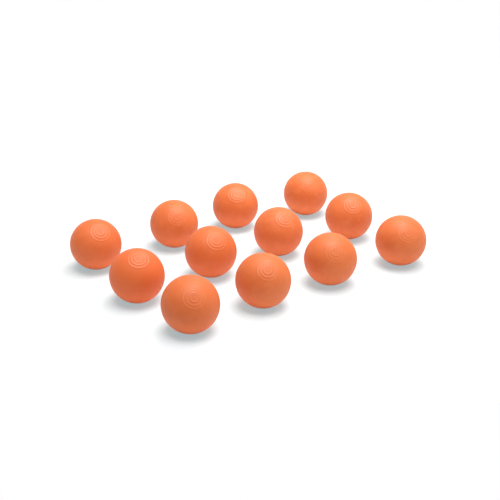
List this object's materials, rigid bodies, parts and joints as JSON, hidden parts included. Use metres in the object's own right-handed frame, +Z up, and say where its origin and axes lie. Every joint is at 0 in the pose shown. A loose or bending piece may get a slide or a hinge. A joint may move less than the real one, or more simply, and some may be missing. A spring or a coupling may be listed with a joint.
{
  "type": "lacrosse ball set",
  "caption": "Set of loose solid orange rubber balls for lacrosse, standing apart in even rows, each moulded in one piece with a parting line and a plain ring mark.",
  "frame": {"origin": "middle of the set's footprint, on the surface that the balls stand on", "axes": "+X along the rows, +Y from the front row to the back row, +Z up"},
  "size_m": [0.3951, 0.2854, 0.0635],
  "materials": {
    "orange_rubber": "matte to satin moulded rubber"
  },
  "bodies": {
    "middle_ball_2": {"middle_ball_2": "orange_rubber"},
    "front_ball_1": {"front_ball_1": "orange_rubber"},
    "front_ball_2": {"front_ball_2": "orange_rubber"},
    "front_ball_3": {"front_ball_3": "orange_rubber"},
    "front_ball_4": {"front_ball_4": "orange_rubber"},
    "middle_ball_1": {"middle_ball_1": "orange_rubber"},
    "middle_ball_3": {"middle_ball_3": "orange_rubber"},
    "middle_ball_4": {"middle_ball_4": "orange_rubber"},
    "back_ball_1": {"back_ball_1": "orange_rubber"},
    "back_ball_2": {"back_ball_2": "orange_rubber"},
    "back_ball_3": {"back_ball_3": "orange_rubber"},
    "back_ball_4": {"back_ball_4": "orange_rubber"}
  },
  "joints": [
    {"name": "front_ball_1_lift", "type": "slide", "parent": "middle_ball_2", "child": "front_ball_1", "axis": [0, 0, 1], "range_m": [0, 0.1]},
    {"name": "front_ball_2_lift", "type": "slide", "parent": "middle_ball_2", "child": "front_ball_2", "axis": [0, 0, 1], "range_m": [0, 0.1]},
    {"name": "front_ball_3_lift", "type": "slide", "parent": "middle_ball_2", "child": "front_ball_3", "axis": [0, 0, 1], "range_m": [0, 0.1]},
    {"name": "front_ball_4_lift", "type": "slide", "parent": "middle_ball_2", "child": "front_ball_4", "axis": [0, 0, 1], "range_m": [0, 0.1]},
    {"name": "middle_ball_1_lift", "type": "slide", "parent": "middle_ball_2", "child": "middle_ball_1", "axis": [0, 0, 1], "range_m": [0, 0.1]},
    {"name": "middle_ball_3_lift", "type": "slide", "parent": "middle_ball_2", "child": "middle_ball_3", "axis": [0, 0, 1], "range_m": [0, 0.1]},
    {"name": "middle_ball_4_lift", "type": "slide", "parent": "middle_ball_2", "child": "middle_ball_4", "axis": [0, 0, 1], "range_m": [0, 0.1]},
    {"name": "back_ball_1_lift", "type": "slide", "parent": "middle_ball_2", "child": "back_ball_1", "axis": [0, 0, 1], "range_m": [0, 0.1]},
    {"name": "back_ball_2_lift", "type": "slide", "parent": "middle_ball_2", "child": "back_ball_2", "axis": [0, 0, 1], "range_m": [0, 0.1]},
    {"name": "back_ball_3_lift", "type": "slide", "parent": "middle_ball_2", "child": "back_ball_3", "axis": [0, 0, 1], "range_m": [0, 0.1]},
    {"name": "back_ball_4_lift", "type": "slide", "parent": "middle_ball_2", "child": "back_ball_4", "axis": [0, 0, 1], "range_m": [0, 0.1]}
  ]
}
